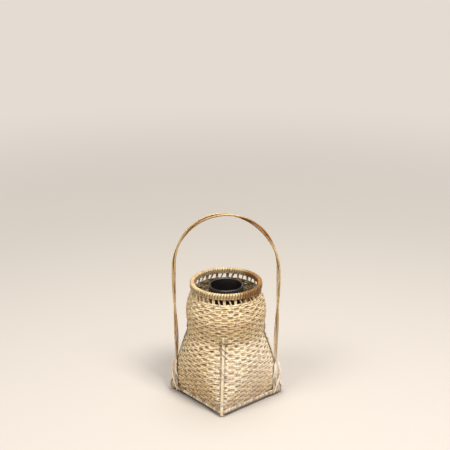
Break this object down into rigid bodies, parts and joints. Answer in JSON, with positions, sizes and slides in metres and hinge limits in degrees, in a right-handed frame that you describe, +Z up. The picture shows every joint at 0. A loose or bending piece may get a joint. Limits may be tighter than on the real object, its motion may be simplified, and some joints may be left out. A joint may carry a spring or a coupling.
{
  "type": "bamboo flower basket",
  "caption": "Woven bamboo flower basket with a square foot, a round mouth, an arched handle of two canes and a lift-out water tube.",
  "frame": {"origin": "on the floor under the middle of the basket, at the undersides of the foot bars", "axes": "+Z up; the handle stands in the XZ plane, and the corners of the square foot point along +X, +Y, -X and -Y; -Y is the corner that faces the viewer"},
  "size_m": [0.197, 0.197, 0.3363],
  "materials": {
    "woven_bamboo": "fine mat weave of split bamboo, pale straw colour, matt with a slight sheen on the skin side",
    "split_bamboo": "flat split bamboo, straw colour, satin",
    "wound_strip": "thin pale strip wound on edge to edge, satin",
    "handle_cane": "round cane, warm brown, satin",
    "black_lacquer": "black lacquer on a bamboo tube, semi-gloss"
  },
  "bodies": {
    "basket": {"foot_bar_side_to_side": "split_bamboo", "foot_bar_front_to_back": "split_bamboo", "base_mat": "woven_bamboo", "foot_hoop": "split_bamboo", "foot_binding": "wound_strip", "body_weave": "woven_bamboo", "band_stakes": "split_bamboo", "rim_hoop_outer": "split_bamboo", "rim_hoop_inner": "split_bamboo", "rim_binding": "wound_strip", "corner_rib_right": "split_bamboo", "corner_rib_back": "split_bamboo", "corner_rib_left": "split_bamboo", "corner_rib_front": "split_bamboo", "rib_tie_right_upper": "wound_strip", "rib_tie_back_upper": "wound_strip", "rib_tie_back_lower": "wound_strip", "rib_tie_left_upper": "wound_strip", "rib_tie_front_upper": "wound_strip", "rib_tie_front_lower": "wound_strip", "handle_cane_front": "handle_cane", "handle_cane_back": "handle_cane", "handle_tie_right": "wound_strip", "handle_tie_left": "wound_strip"},
    "tube": {"water_tube": "black_lacquer"}
  },
  "joints": [
    {"name": "water_tube_lift", "type": "slide", "parent": "basket", "child": "tube", "axis": [0, 0, 1], "range_m": [0, 0.115]}
  ]
}
